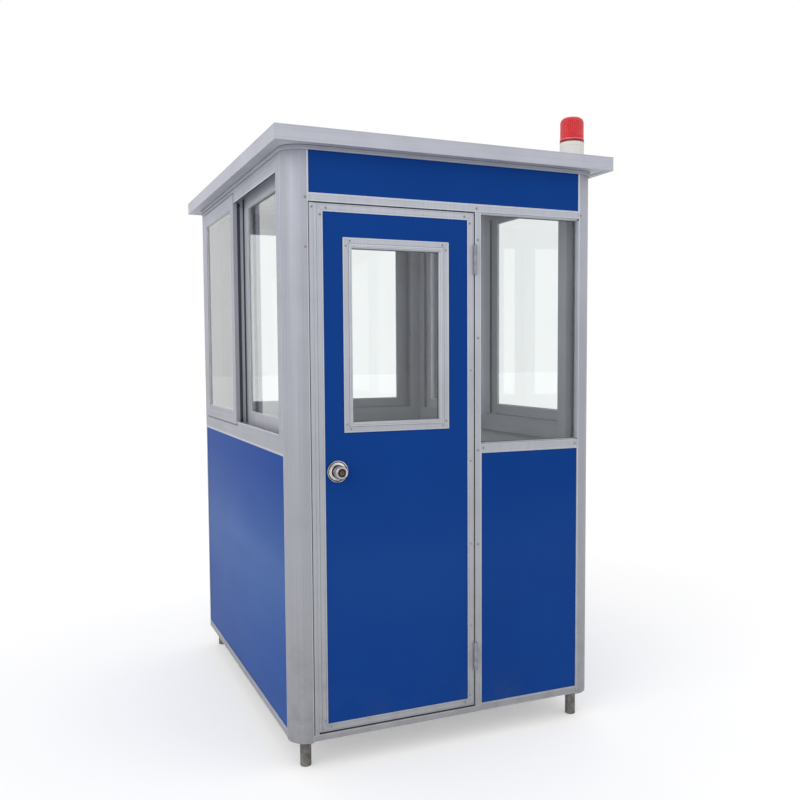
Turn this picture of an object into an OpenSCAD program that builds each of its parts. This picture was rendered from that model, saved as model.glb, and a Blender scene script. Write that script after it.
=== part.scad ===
// Security guard booth: a small cabin of sandwich panels held in an aluminium
// frame, on four pipe feet, with a hinged door, a fixed front window, three
// sliding windows and a warning beacon on the roof.
//
// Millimetres. The origin is on the ground at the centre of the plan.
// -Y is the front with the door, +X is the right-hand side, +Z is up.

/* [Cabin] */
// Width over the side walls
body_w = 1292; // [1240:2:1600]
// Depth over the front and rear walls
body_d = 1650; // [1400:10:2000]
// Height of the walls, from the top of the feet to the roof slab
wall_h = 2148; // [2140:1:2400]
// Thickness of the wall frame, across the rails and posts
wall_t = 54; // [54:1:80]
// Thickness of the sandwich panels
panel_t = 50; // [40:1:50]

/* [Feet and floor] */
// Length of each pipe foot
foot_h = 110; // [60:5:160]
// Outer diameter of the feet
foot_dia = 42; // [38:1:60]
// Distance from each outer wall face to a foot's centre
foot_inset = 64; // [45:1:90]
// Height of the rails under the walls
rail_h = 28; // [26:1:60]
// Thickness of the floor deck
deck_t = 16; // [12:1:25]

/* [Roof] */
// Thickness of the roof slab
roof_t = 50; // [40:5:80]
// Overhang of the roof beyond the walls
overhang = 51; // [45:1:100]

/* [Corners and front] */
// Width of each corner column on both faces
column_w = 79; // [79:1:110]
// Outer corner radius of the columns
column_r = 74; // [20:1:74]
// Height of the underside of the sliding windows
sill_z = 1048; // [900:1:1100]
// Height of the underside of the front window's sill
front_sill_z = 1031; // [900:1:1100]
// Height of the underside of the front lintel
head_z = 1955; // [1900:1:1990]
// Height of the lintel's face
lintel_h = 27; // [20:1:50]
// Width of the fixed jamb beside the door's lock edge
jamb_w = 21; // [15:1:30]
// Left-hand side of the post between the door and the window
post_x = 96; // [80:1:120]
// Width of that post
post_w = 25; // [20:1:40]

/* [Door] */
// Clearance round the leaf
door_gap = 5; // [5:0.5:8]
// Thickness of the leaf
leaf_t = 40; // [36:1:42]
// Width of the leaf's edge profile
edging_w = 28; // [20:1:40]
// Width of the door window's frame
vision_frame_w = 33; // [20:1:45]
// Height of each hinge
hinge_h = 110; // [80:5:150]
// Distance from the leaf's free edge to the knob's centre
backset = 74; // [60:1:90]
// Height of the knob's centre
knob_z = 990; // [900:1:1050]

/* [Sliding windows] */
// Depth of the window frames, which stand out into the cabin
window_depth = 88; // [80:1:100]
// Width of the window frame's side faces
window_jamb_w = 60; // [50:1:80]
// Height of the window frame's sill face, with its rail
window_sill_h = 70; // [64:1:90]
// Width of the sash stiles
stile_w = 55; // [45:1:70]

/* [Beacon] */
// Diameter of the beacon's base
beacon_dia = 98; // [80:1:120]
// Height of the beacon's base
beacon_base_h = 68; // [50:1:90]
// Height of the beacon's lens
lens_h = 100; // [80:1:120]

/* [Hidden] */
$fn = 96;
skin = 2;                               // wall thickness of the thin profiles
insert = 20;                            // how far a panel enters a column
x0 = -body_w / 2;
x1 = body_w / 2;
y0 = -body_d / 2;
y1 = body_d / 2;
recess = (wall_t - panel_t) / 2;        // panel face behind the frame's face
side_l = body_d - 2 * column_w;         // clear length between columns, sides
end_l = body_w - 2 * column_w;          // the same at the front and rear
front_x0 = -end_l / 2;
front_x1 = end_l / 2;
bay_x0 = post_x + post_w;               // the front window's bay
threshold_h = 23;
bottom_gap = 7;                         // under the leaf
leaf_z0 = threshold_h + bottom_gap;
leaf_x0 = front_x0 + jamb_w + door_gap;
leaf_x1 = post_x - door_gap;
leaf_z1 = head_z - door_gap;
front_sill_h = 33;
web_t = 4;                              // thickness of a profile's middle wall
column_drop = 5;                        // columns end below the rails
soffit_z = wall_h - skin;
cornice_h = 14;
cornice_out = 10;
lip_w = 30;                             // width of the roof edge's lips
roof_z1 = wall_h + roof_t + skin;
joist_h = 20;
joist_w = 50;
joists = 4;
deck_z1 = joist_h + deck_t;

// The front window
bead = 4;                               // width of the bead round the pane
head_bead = 7;                          // the same at the head
bead_y = [8, 34];                       // the bead, inwards from the wall face
front_glass_y = 22;

// Door furniture
hinge_levels = [171, leaf_z1 - 232];    // underside of each hinge
pin_x = (leaf_x1 + post_x) / 2;
pin_y = y0 - 7;
pin_r = 3;
barrel_r = 7;
running = 0.05;                         // radial clearance of a turning fit
plate_t = 2;
plate_l = 36;
knuckle_gap = 0.5;
knob_x = leaf_x0 + backset;
vision_x0 = leaf_x0 + 102;              // limits of the door window's frame
vision_x1 = leaf_x1 - 108;
vision_z0 = 1130;
vision_z1 = 1834;
vision_proud = 2;                       // how far the frame stands off the leaf
vision_glass_t = 5;
lining_t = 8;                           // lining between its two facing rings
stop_w = 18;
stop_t = wall_t - leaf_t - door_gap;
rose_r = 40;
rose_t = 8;
rose_face_r = 20;                       // flat face round the knob's neck
rose_edge = 4;                          // height of the rose at its rim
lock_tube_r = 14;
spindle_r = 5;
neck_r = 13;
knob_r = 25;
neck_l = 10;
knob_reach = 54;                        // knob's end, measured from the leaf

// Sliding windows, measured along the wall, inwards and upwards
win_z0 = sill_z;
win_z1 = wall_h;
lip_t = 3;                              // thickness of the frame's lips
head_face_h = 74;                       // height of the head's outer face
middle_head_h = 58;                     // height of the head's middle wall
win_lip_z0 = win_z0 + window_sill_h;
win_lip_z1 = wall_h - head_face_h;
track_drop = 17;                        // track floor under the sill's lip
track_z1 = wall_h - 34;                 // roof of the tracks
middle_y = [21, 24];                    // wall between the two tracks
rear_window_depth = column_w;           // so that the frames meet in the corners
outer_y = [-4, 14];                     // outer sash, inwards from the wall face
outer_skirt_y = -1;                     // back of the outer sash's lap
skirt_side = 13;                        // lap of the outer sash over each lip
skirt_low = 8;
skirt_high = 36;
inner_y = [48, 66];                     // inner sash
fin_y = 28;                             // outer edge of the inner sash's fin
fin_t = 3;
fin_low = 12;                           // fin's ends, in from the sash's ends
fin_high = 16;
meet_x = 24;                            // sides: the sashes meet behind mid-depth
meeting = 12;                           // lap of the two sashes there
sash_gap = 2;                           // between the outer sash and the lips
inner_lap = 12;                         // inner sash behind the side lip
inner_low = 10;                         // inner sash under the sill's lip
inner_high = 33;                        // inner sash over the head's lip
pane_z = [win_lip_z0 + 46, win_lip_z1 - 24];
glass_t = 5;
outer_glass_y = 3;
inner_glass_y = 55;

// Beacon
beacon_x = x1 - 80;
beacon_y = y0 + 52;
beacon_r = beacon_dia / 2;
flange_out = 4;                         // flange round the foot of the base
lens_r = beacon_r - 2;
lens_ring = [2, 8];                     // reach and height of the lens's rim
lens_round = 23;                        // round shoulder of the lens
lens_wall = 3;

// ---- Helpers ---------------------------------------------------------------

// A block between two limits on each axis
module block(x, y, z) {
  translate([x[0], y[0], z[0]])
    cube([x[1] - x[0], y[1] - y[0], z[1] - z[0]]);
}

// Heights are given above the feet
module above_feet() {
  translate([0, 0, foot_h]) children();
}

// Each wall is drawn with X along it, Y inwards from its outer face, Z up.
// On the side and rear walls the outer sash is on the left, seen from outside.
module on_front() {
  above_feet() translate([0, y0, 0]) children();
}

module on_rear() {
  above_feet() mirror([0, 1, 0]) translate([0, y0, 0]) children();
}

module on_left() {
  above_feet() translate([x0, 0, 0]) mirror([1, -1, 0]) children();
}

module on_right() {
  above_feet() translate([x1, 0, 0]) mirror([1, 1, 0]) children();
}

// A flat ring in the wall's plane: x and z are its outer limits
module wall_ring(x, y, z, side, bottom, top) {
  difference() {
    block(x, y, z);
    block([x[0] + side, x[1] - side], [y[0] - 1, y[1] + 1], [z[0] + bottom, z[1] - top]);
  }
}

// An upright channel: open upwards, on the wall line
module channel_up(x, z) {
  difference() {
    block(x, [0, wall_t], z);
    block([x[0] - 1, x[1] + 1], [recess, wall_t - recess], [z[0] + recess, z[1] + 1]);
  }
}

// A rectangle in plan with round corners
module round_plan(w, d, r) {
  square([w, d - 2 * r], center = true);
  square([w - 2 * r, d], center = true);
  for (sx = [-1, 1], sy = [-1, 1])
    translate([sx * (w / 2 - r), sy * (d / 2 - r)]) circle(r);
}

// ---- Feet and floor --------------------------------------------------------

module feet() {
  chamfer = 2;
  r = foot_dia / 2;
  top = foot_h - column_drop;
  color("dimgray")
    for (sx = [-1, 1], sy = [-1, 1])
      translate([sx * (body_w / 2 - foot_inset), sy * (body_d / 2 - foot_inset), 0])
        rotate_extrude()
          polygon([[0, 0], [r - chamfer, 0], [r, chamfer], [r, top], [0, top]]);
}

module floor_joists() {
  reach = body_w / 2 - wall_t;
  pitch = (body_d - 2 * wall_t - joist_w) / (joists - 1);
  color("gray")
    above_feet()
      for (i = [0 : joists - 1])
        translate([0, y0 + wall_t + joist_w / 2 + i * pitch, 0])
          difference() {
            block([-reach, reach], [-joist_w / 2, joist_w / 2], [0, joist_h]);
            block([-reach - 1, reach + 1], [-joist_w / 2 + skin, joist_w / 2 - skin],
                  [skin, joist_h - skin]);
          }
}

module floor_deck() {
  color("darkgray")
    above_feet()
      block([x0 + wall_t, x1 - wall_t], [y0 + wall_t, y1 - wall_t], [joist_h, deck_z1]);
}

module base_rails() {
  color("silver") {
    on_left() channel_up([-side_l / 2, side_l / 2], [0, rail_h]);
    on_right() channel_up([-side_l / 2, side_l / 2], [0, rail_h]);
    on_rear() channel_up([-end_l / 2, end_l / 2], [0, rail_h]);
    on_front() {
      channel_up([bay_x0, front_x1], [0, rail_h]);
      difference() {
        block([front_x0, bay_x0], [0, wall_t], [0, threshold_h]);
        block([front_x0 - 1, bay_x0 - skin], [skin, wall_t - skin],
              [skin, threshold_h - skin]);
      }
    }
  }
}

// ---- Corners and roof ------------------------------------------------------

// Section of one column, with the outer corner at the origin
module column_section() {
  shell = 3;
  difference() {
    intersection() {
      square(column_w);
      union() {
        translate([column_r, 0]) square([column_w, column_w]);
        translate([0, column_r]) square([column_w, column_w]);
        translate([column_r, column_r]) circle(column_r);
      }
    }
    translate([wall_t, wall_t]) square(column_w);
    translate([column_w - insert, recess]) square([column_w, panel_t]);
    translate([recess, column_w - insert]) square([panel_t, column_w]);
    intersection() {
      translate([shell, shell]) square(wall_t - 2 * shell);
      translate([column_r, column_r]) circle(column_r - shell);
    }
  }
}

module corner_columns() {
  color("silver")
    above_feet()
      for (mx = [0, 1], my = [0, 1])
        mirror([mx, 0, 0]) mirror([0, my, 0])
          translate([x0, y0, -column_drop])
            linear_extrude(wall_h + column_drop) column_section();
}

module roof_slab() {
  half_w = body_w / 2 + overhang - skin;
  half_d = body_d / 2 + overhang - skin;
  color("gainsboro")
    above_feet() block([-half_w, half_w], [-half_d, half_d], [wall_h, wall_h + roof_t]);
}

// The roof edge profile: a tall face with a lip over and under the slab
module roof_edge() {
  w = body_w + 2 * overhang;
  d = body_d + 2 * overhang;
  color("lightsteelblue")
    above_feet()
      difference() {
        translate([0, 0, soffit_z])
          linear_extrude(roof_z1 - soffit_z) square([w, d], center = true);
        translate([0, 0, soffit_z - 1])
          linear_extrude(roof_z1 - soffit_z + 2)
            square([w - 2 * lip_w, d - 2 * lip_w], center = true);
        translate([0, 0, wall_h])
          linear_extrude(roof_t)
            square([w - 2 * skin, d - 2 * skin], center = true);
      }
}

module cornice() {
  color("silver")
    above_feet()
      translate([0, 0, soffit_z - cornice_h])
        linear_extrude(cornice_h)
          difference() {
            round_plan(body_w + 2 * cornice_out, body_d + 2 * cornice_out,
                       column_r + cornice_out);
            round_plan(body_w, body_d, column_r);
          }
}

// ---- Front wall ------------------------------------------------------------

module front_lintel() {
  color("silver")
    on_front()
      difference() {
        block([front_x0, front_x1], [0, wall_t], [head_z, head_z + lintel_h]);
        block([front_x0 - 1, front_x1 + 1], [recess, wall_t - recess],
              [head_z + web_t, head_z + lintel_h + 1]);
      }
}

module front_top_panel() {
  color("royalblue")
    on_front()
      block([front_x0 - insert, front_x1 + insert], [recess, wall_t - recess],
            [head_z + web_t, wall_h]);
}

// A hollow upright on the wall line
module upright(x, z) {
  difference() {
    block(x, [0, wall_t], z);
    block([x[0] + skin, x[1] - skin], [skin, wall_t - skin], [z[0] - 1, z[1] + 1]);
  }
}

module door_jamb() {
  color("silver")
    on_front() upright([front_x0, front_x0 + jamb_w], [threshold_h, head_z]);
}

// Stop strips behind the leaf, at both sides and the head
module door_stop() {
  y = [wall_t - stop_t, wall_t];
  inner_x0 = front_x0 + jamb_w;
  color("gray")
    on_front() {
      block([inner_x0, inner_x0 + stop_w], y, [threshold_h, head_z]);
      block([post_x - stop_w, post_x], y, [threshold_h, head_z]);
      block([inner_x0, post_x], y, [head_z - stop_w, head_z]);
    }
}

module window_post() {
  color("silver")
    on_front() upright([post_x, bay_x0], [threshold_h, head_z]);
}

module front_sill() {
  z1 = front_sill_z + front_sill_h;
  color("silver")
    on_front()
      difference() {
        block([bay_x0, front_x1], [0, wall_t], [front_sill_z, z1]);
        block([bay_x0 - 1, front_x1 + 1], [recess, wall_t - recess],
              [front_sill_z - 1, z1 - web_t]);
      }
}

module front_lower_panel() {
  color("royalblue")
    on_front()
      block([bay_x0, front_x1 + insert], [recess, wall_t - recess],
            [recess, front_sill_z + front_sill_h - web_t]);
}

module front_window_frame() {
  color("silver")
    on_front()
      wall_ring([bay_x0, front_x1], bead_y, [front_sill_z + front_sill_h, head_z],
                bead, bead, head_bead);
}

module front_window_glass() {
  color("lightcyan", 0.4)
    on_front()
      block([bay_x0 + bead, front_x1 - bead], [front_glass_y, front_glass_y + glass_t],
            [front_sill_z + front_sill_h + bead, head_z - head_bead]);
}

// ---- Side and rear walls ---------------------------------------------------

// The panel under a window, for a bay of clear length l
module lower_panel(l) {
  color("royalblue")
    block([-l / 2 - insert, l / 2 + insert], [recess, wall_t - recess], [recess, sill_z]);
}

// The frame of a sliding window: a deep ring with a lip round the outer face
module window_frame(l, depth) {
  track_z = [win_lip_z0 - track_drop, track_z1];
  track_end = l / 2 - window_jamb_w + track_drop;
  lip_end = l / 2 - window_jamb_w;
  color("silver")
    difference() {
      block([-l / 2, l / 2], [0, depth], [win_z0, win_z1]);
      block([-lip_end, lip_end], [-1, depth + 1], [win_lip_z0, win_lip_z1]);
      block([-track_end, track_end], [lip_t, middle_y[0]], track_z);
      block([-track_end, track_end], [middle_y[1], depth - lip_t], track_z);
      block([-track_end, track_end], [middle_y[0] - 1, middle_y[1] + 1],
            [win_lip_z0, wall_h - middle_head_h]);
    }
}

// The outer sash fills the half beyond m and laps over the frame's lip
module outer_sash(l, m) {
  lip_end = l / 2 - window_jamb_w;
  x = [m - meeting / 2, lip_end - sash_gap];
  color("silver")
    difference() {
      union() {
        block(x, outer_y, [win_lip_z0 + sash_gap, win_lip_z1 - sash_gap]);
        block([x[0], lip_end + skirt_side], [outer_y[0], outer_skirt_y],
              [win_lip_z0 - skirt_low, win_lip_z1 + skirt_high]);
      }
      block([x[0] + stile_w, x[1] - stile_w], [outer_y[0] - 1, outer_y[1] + 1], pane_z);
    }
}

// The inner sash fills the half before m, with a fin at the meeting stile
module inner_sash(l, m) {
  x = [window_jamb_w - inner_lap - l / 2, m + meeting / 2];
  z = [win_lip_z0 - inner_low, win_lip_z1 + inner_high];
  color("silver") {
    wall_ring(x, inner_y, z, stile_w, pane_z[0] - z[0], z[1] - pane_z[1]);
    block([x[1] - fin_t, x[1]], [fin_y, inner_y[0]], [z[0] + fin_low, z[1] - fin_high]);
  }
}

// One pane in each sash
module window_panes(l, m) {
  outer_x = [m - meeting / 2 + stile_w, l / 2 - window_jamb_w - sash_gap - stile_w];
  inner_x = [window_jamb_w - inner_lap + stile_w - l / 2, m + meeting / 2 - stile_w];
  color("lightcyan", 0.4) {
    block(outer_x, [outer_glass_y, outer_glass_y + glass_t], pane_z);
    block(inner_x, [inner_glass_y, inner_glass_y + glass_t], pane_z);
  }
}

module left_lower_panel() { on_left() lower_panel(side_l); }
module left_window_frame() { on_left() window_frame(side_l, window_depth); }
module left_outer_sash() { on_left() outer_sash(side_l, meet_x); }
module left_inner_sash() { on_left() inner_sash(side_l, meet_x); }
module left_window_glass() { on_left() window_panes(side_l, meet_x); }

module right_lower_panel() { on_right() lower_panel(side_l); }
module right_window_frame() { on_right() window_frame(side_l, window_depth); }
module right_outer_sash() { on_right() outer_sash(side_l, -meet_x); }
module right_inner_sash() { on_right() inner_sash(side_l, -meet_x); }
module right_window_glass() { on_right() window_panes(side_l, -meet_x); }

module rear_lower_panel() { on_rear() lower_panel(end_l); }
module rear_window_frame() { on_rear() window_frame(end_l, rear_window_depth); }
module rear_outer_sash() { on_rear() outer_sash(end_l, 0); }
module rear_inner_sash() { on_rear() inner_sash(end_l, 0); }
module rear_window_glass() { on_rear() window_panes(end_l, 0); }

// ---- Hinges ----------------------------------------------------------------

// A knuckle round the pin's line, between two heights of a hinge
module knuckle(z) {
  translate([pin_x, pin_y, z[0]]) cylinder(h = z[1] - z[0], r = barrel_r);
}

// A hinge leaf's plate in the gap, with fingers out to its knuckles
module hinge_plate(x, fingers) {
  block(x, [y0, y0 + plate_l], [0, hinge_h]);
  for (z = fingers)
    block(x, [pin_y, y0 + 1], z);
}

module frame_hinges() {
  third = hinge_h / 3;
  ends = [[0, third - knuckle_gap], [2 * third + knuckle_gap, hinge_h]];
  color("lightgray")
    above_feet()
      for (level = hinge_levels)
        translate([0, 0, level]) {
          hinge_plate([post_x - plate_t, post_x], ends);
          for (z = ends)
            knuckle(z);
          translate([pin_x, pin_y, 0]) cylinder(h = hinge_h, r = pin_r);
        }
}

module door_hinges() {
  third = hinge_h / 3;
  middle = [third, 2 * third];
  color("lightgray")
    above_feet()
      for (level = hinge_levels)
        translate([0, 0, level])
          difference() {
            union() {
              hinge_plate([leaf_x1, leaf_x1 + plate_t], [middle]);
              knuckle(middle);
            }
            translate([pin_x, pin_y, -1]) cylinder(h = hinge_h + 2, r = pin_r + running);
          }
}

// ---- Door ------------------------------------------------------------------

// The through hole for the lock
module lock_hole(r) {
  translate([knob_x, -1, knob_z]) rotate([-90, 0, 0]) cylinder(h = leaf_t + 2, r = r);
}

module door_panel() {
  cut = vision_frame_w - lining_t;
  color("royalblue")
    on_front()
      difference() {
        block([leaf_x0 + skin, leaf_x1 - skin], [skin, leaf_t - skin],
              [leaf_z0 + skin, leaf_z1 - skin]);
        block([vision_x0 + cut, vision_x1 - cut], [-1, leaf_t + 1],
              [vision_z0 + cut, vision_z1 - cut]);
        lock_hole(lock_tube_r);
      }
}

module door_edging() {
  color("silver")
    on_front()
      difference() {
        wall_ring([leaf_x0, leaf_x1], [0, leaf_t], [leaf_z0, leaf_z1],
                  edging_w, edging_w, edging_w);
        block([leaf_x0 + skin, leaf_x1 - skin], [skin, leaf_t - skin],
              [leaf_z0 + skin, leaf_z1 - skin]);
      }
}

// Two facing rings clamp the pane, with a lining between them
module door_window_frame() {
  x = [vision_x0, vision_x1];
  z = [vision_z0, vision_z1];
  f = vision_frame_w;
  lining = f - lining_t;
  color("silver")
    on_front() {
      wall_ring(x, [-vision_proud, skin], z, f, f, f);
      wall_ring(x, [leaf_t - skin, leaf_t + vision_proud], z, f, f, f);
      wall_ring([x[0] + lining, x[1] - lining], [skin, leaf_t - skin],
                [z[0] + lining, z[1] - lining], lining_t, lining_t, lining_t);
    }
}

module door_window_glass() {
  f = vision_frame_w;
  mid = (leaf_t - vision_glass_t) / 2;
  color("lightcyan", 0.4)
    on_front()
      block([vision_x0 + f, vision_x1 - f], [mid, mid + vision_glass_t],
            [vision_z0 + f, vision_z1 - f]);
}

// A rose on each face and the tube that joins them through the leaf
module door_lock() {
  color("silver")
    on_front()
      translate([knob_x, 0, knob_z]) rotate([-90, 0, 0])
        difference() {
          union() {
            rotate_extrude()
              polygon([[0, skin], [rose_r, skin], [rose_r, 0],
                       [rose_r - rose_edge, -rose_edge], [rose_face_r, -rose_t],
                       [0, -rose_t]]);
            rotate_extrude()
              polygon([[0, leaf_t - skin], [rose_r, leaf_t - skin], [rose_r, leaf_t],
                       [rose_r - rose_edge, leaf_t + rose_edge],
                       [rose_face_r, leaf_t + rose_t], [0, leaf_t + rose_t]]);
            cylinder(h = leaf_t, r = lock_tube_r);
          }
          translate([0, 0, -rose_t - 1])
            cylinder(h = leaf_t + 2 * rose_t + 2, r = spindle_r + running);
        }
}

// The outline of one knob, from its neck out to its face
module knob_outline() {
  start = rose_t + knuckle_gap;
  back = start + neck_l;
  polygon([[0, start], [neck_r, start], [neck_r, back], [knob_r - 5, back + 5],
           [knob_r, back + 11], [knob_r, knob_reach - 8], [knob_r - 3, knob_reach - 3],
           [knob_r - 9, knob_reach], [0, knob_reach]]);
}

module door_knobs() {
  color("lightgray")
    on_front()
      translate([knob_x, 0, knob_z]) rotate([-90, 0, 0]) {
        mirror([0, 0, 1]) rotate_extrude() knob_outline();
        translate([0, 0, leaf_t]) rotate_extrude() knob_outline();
        translate([0, 0, -knob_reach + 1])
          cylinder(h = leaf_t + 2 * knob_reach - 2, r = spindle_r);
      }
}

// ---- Beacon ----------------------------------------------------------------

module beacon_base() {
  flange_h = 6;
  bevel = 3;
  color("white")
    above_feet()
      translate([beacon_x, beacon_y, roof_z1 - skin])
        rotate_extrude()
          polygon([[0, 0], [beacon_r + flange_out, 0], [beacon_r + flange_out, flange_h],
                   [beacon_r, 2 * flange_h], [beacon_r, beacon_base_h - bevel],
                   [beacon_r - bevel, beacon_base_h], [0, beacon_base_h]]);
}

module beacon_lens() {
  crown = 9;                            // thickness of the lens at its top
  color("red")
    above_feet()
      translate([beacon_x, beacon_y, roof_z1 - skin + beacon_base_h])
        difference() {
          rotate_extrude() {
            square([lens_r - lens_round, lens_h]);
            square([lens_r, lens_h - lens_round]);
            square([lens_r + lens_ring[0], lens_ring[1]]);
            translate([lens_r - lens_round, lens_h - lens_round])
              intersection() {
                circle(lens_round);
                square(lens_round);
              }
          }
          translate([0, 0, -1])
            cylinder(h = lens_h - lens_round + 1, r = lens_r - lens_wall);
          translate([0, 0, -1])
            cylinder(h = lens_h - crown + 1, r = lens_r - lens_round);
        }
}

// ---- Assembly --------------------------------------------------------------

feet();
floor_joists();
floor_deck();
base_rails();
corner_columns();
roof_slab();
roof_edge();
cornice();
front_lintel();
front_top_panel();
door_jamb();
door_stop();
window_post();
front_sill();
front_lower_panel();
front_window_frame();
front_window_glass();
left_lower_panel();
left_window_frame();
left_outer_sash();
left_inner_sash();
left_window_glass();
right_lower_panel();
right_window_frame();
right_outer_sash();
right_inner_sash();
right_window_glass();
rear_lower_panel();
rear_window_frame();
rear_outer_sash();
rear_inner_sash();
rear_window_glass();
frame_hinges();
beacon_base();
beacon_lens();
door_panel();
door_edging();
door_window_frame();
door_window_glass();
door_hinges();
door_lock();
door_knobs();
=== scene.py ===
import math

import bmesh
import bpy
from mathutils import Matrix, Vector


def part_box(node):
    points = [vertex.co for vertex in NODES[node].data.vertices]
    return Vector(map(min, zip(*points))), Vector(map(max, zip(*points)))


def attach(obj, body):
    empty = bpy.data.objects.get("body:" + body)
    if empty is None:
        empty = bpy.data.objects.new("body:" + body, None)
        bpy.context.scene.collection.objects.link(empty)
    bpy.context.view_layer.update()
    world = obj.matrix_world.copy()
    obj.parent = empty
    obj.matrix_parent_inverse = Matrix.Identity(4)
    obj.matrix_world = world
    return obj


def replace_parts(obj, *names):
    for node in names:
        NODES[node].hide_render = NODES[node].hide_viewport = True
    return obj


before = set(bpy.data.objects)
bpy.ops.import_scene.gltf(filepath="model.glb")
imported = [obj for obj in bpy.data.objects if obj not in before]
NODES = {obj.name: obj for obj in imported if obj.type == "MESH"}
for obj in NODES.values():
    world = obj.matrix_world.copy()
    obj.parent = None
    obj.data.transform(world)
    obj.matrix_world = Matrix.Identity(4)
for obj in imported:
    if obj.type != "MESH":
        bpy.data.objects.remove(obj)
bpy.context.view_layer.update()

SIDES = ("left", "right", "rear")


# ---- Where things are, from the CAD ----------------------------------------

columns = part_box("corner_columns")
X0, Y0, X1, Y1 = columns[0].x, columns[0].y, columns[1].x, columns[1].y
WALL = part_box("front_lintel")[1].y - Y0
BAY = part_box("front_lintel")[1].x            # half the clear width between the columns
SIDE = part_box("left_window_frame")[1].y      # the same along the sides
RAILS_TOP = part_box("base_rails")[1].z
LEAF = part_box("door_edging")
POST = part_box("window_post")
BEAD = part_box("front_window_frame")
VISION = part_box("door_window_frame")
HAIR = 0.0002                                # keeps two touching solids apart

# Each wall's own frame: u along it, w inwards from its outer face, z up.
# In plan, u runs along X, z along Y, and w is the height.
WALLS = {
    "front": (lambda u, w, z: Vector((u, Y0 + w, z)), Vector((0, -1, 0))),
    "rear": (lambda u, w, z: Vector((u, Y1 - w, z)), Vector((0, 1, 0))),
    "left": (lambda u, w, z: Vector((X0 + w, u, z)), Vector((-1, 0, 0))),
    "right": (lambda u, w, z: Vector((X1 - w, -u, z)), Vector((1, 0, 0))),
    "plan": (lambda u, w, z: Vector((u, z, w)), Vector((0, 0, 1))),
}


def along(wall, node):
    """A node's limits along its wall, as u."""
    low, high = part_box(node)
    if wall == "left":
        return low.y, high.y
    if wall == "right":
        return -high.y, -low.y
    return low.x, high.x


# ---- Node materials --------------------------------------------------------

class Shader:
    """A material under construction: short calls for the nodes it needs."""

    def __init__(self, name):
        self.material = bpy.data.materials.new(name)
        self.material.use_nodes = True
        self.tree = self.material.node_tree
        self.bsdf = next(n for n in self.tree.nodes if n.type == "BSDF_PRINCIPLED")
        self.coords = self.node("ShaderNodeTexCoord").outputs["Object"]

    def node(self, kind, **settings):
        made = self.tree.nodes.new(kind)
        for key, value in settings.items():
            setattr(made, key, value)
        return made

    def link(self, a, b):
        self.tree.links.new(a, b)

    def set(self, **values):
        """Constant values on the shader's own sockets."""
        for key, value in values.items():
            self.bsdf.inputs[key.replace("_", " ")].default_value = value

    def noise(self, scale, detail=3.0, rough=0.5, stretch=(1, 1, 1)):
        mapping = self.node("ShaderNodeMapping")
        mapping.inputs["Scale"].default_value = stretch
        self.link(self.coords, mapping.inputs["Vector"])
        tex = self.node("ShaderNodeTexNoise")
        tex.inputs["Scale"].default_value = scale
        tex.inputs["Detail"].default_value = detail
        tex.inputs["Roughness"].default_value = rough
        self.link(mapping.outputs["Vector"], tex.inputs["Vector"])
        return tex.outputs["Fac"]

    def remap(self, value, lo, hi, to_lo, to_hi):
        """Carries lo..hi over to to_lo..to_hi, and stops at both ends."""
        made = self.node("ShaderNodeMapRange")
        for key, number in (("From Min", lo), ("From Max", hi), ("To Min", to_lo), ("To Max", to_hi)):
            made.inputs[key].default_value = number
        self.link(value, made.inputs["Value"])
        return made.outputs["Result"]

    def mix(self, factor, a, b):
        """Colour a where the factor is 0, colour b where it is 1."""
        made = self.node("ShaderNodeMix", data_type="RGBA")
        self.link(factor, made.inputs["Factor"])
        for socket, value in ((made.inputs[6], a), (made.inputs[7], b)):
            if isinstance(value, (tuple, list)):
                socket.default_value = (*value[:3], 1.0)
            else:
                self.link(value, socket)
        return made.outputs[2]

    def maths(self, operation, a, b):
        """The two values combined and kept within 0 and 1."""
        made = self.node("ShaderNodeMath", operation=operation, use_clamp=True)
        for socket, value in zip(made.inputs, (a, b)):
            if isinstance(value, (int, float)):
                socket.default_value = value
            else:
                self.link(value, socket)
        return made.outputs["Value"]

    def axis(self, name):
        """One of the object's own coordinates."""
        split = self.node("ShaderNodeSeparateXYZ")
        self.link(self.coords, split.inputs["Vector"])
        return split.outputs[name]

    def bump(self, height, strength, distance):
        made = self.node("ShaderNodeBump")
        made.inputs["Strength"].default_value = strength
        made.inputs["Distance"].default_value = distance
        self.link(height, made.inputs["Height"])
        self.link(made.outputs["Normal"], self.bsdf.inputs["Normal"])

    def out(self, **sources):
        """Links the shader's sockets and gives the finished material."""
        for key, source in sources.items():
            self.link(source, self.bsdf.inputs[key.replace("_", " ")])
        return self.material


def srgb(r, g, b):
    """Linear colour from 0-255 screen values."""
    return tuple(((c / 255 + 0.055) / 1.055) ** 2.4 if c > 10 else c / 3294.6 for c in (r, g, b))


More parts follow.
